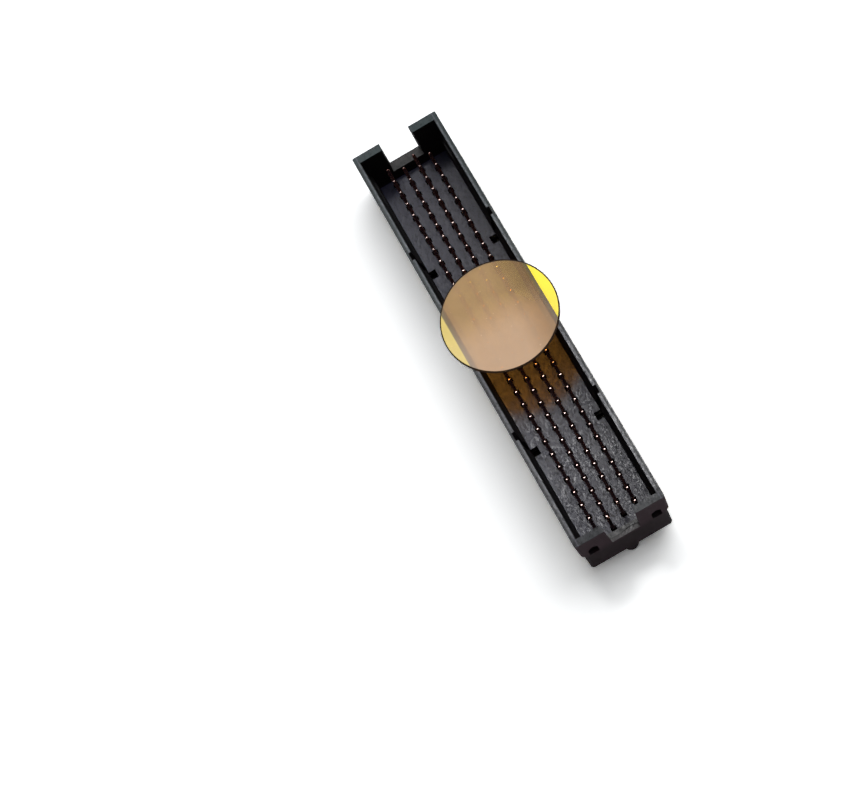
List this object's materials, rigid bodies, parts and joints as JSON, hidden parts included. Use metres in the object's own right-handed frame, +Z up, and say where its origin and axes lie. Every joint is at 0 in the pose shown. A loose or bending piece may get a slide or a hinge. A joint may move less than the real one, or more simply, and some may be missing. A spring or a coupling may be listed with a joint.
{
  "type": "smt board connector",
  "caption": "Surface-mount board-to-board plug: a long open shroud over staggered rows of slim contacts, with a round pick-up film and a locating peg.",
  "frame": {"origin": "on the board's surface, in the middle of the contact pattern", "axes": "+X along the connector towards the peg end, +Y across it, +Z up towards the mating side"},
  "size_m": [0.0408, 0.0101, 0.0071],
  "materials": {
    "moulding": "satin black moulded plastic",
    "gold_contact": "gold plated sheet",
    "amber_film": "clear amber film"
  },
  "bodies": {
    "root": {"housing": "moulding", "pickup_film": "amber_film", "contacts_a_01_05": "gold_contact", "contacts_a_06_10": "gold_contact", "contacts_a_11_15": "gold_contact", "contacts_a_16_20": "gold_contact", "contacts_a_21_25": "gold_contact", "contacts_a_26_30": "gold_contact", "contacts_b_01_05": "gold_contact", "contacts_b_06_10": "gold_contact", "contacts_b_11_15": "gold_contact", "contacts_b_16_20": "gold_contact", "contacts_b_21_25": "gold_contact", "contacts_b_26_30": "gold_contact", "contacts_c_01_05": "gold_contact", "contacts_c_06_10": "gold_contact", "contacts_c_11_15": "gold_contact", "contacts_c_16_20": "gold_contact", "contacts_c_21_25": "gold_contact", "contacts_c_26_30": "gold_contact", "contacts_d_01_05": "gold_contact", "contacts_d_06_10": "gold_contact", "contacts_d_11_15": "gold_contact", "contacts_d_16_20": "gold_contact", "contacts_d_21_25": "gold_contact", "contacts_d_26_30": "gold_contact"}
  },
  "joints": []
}
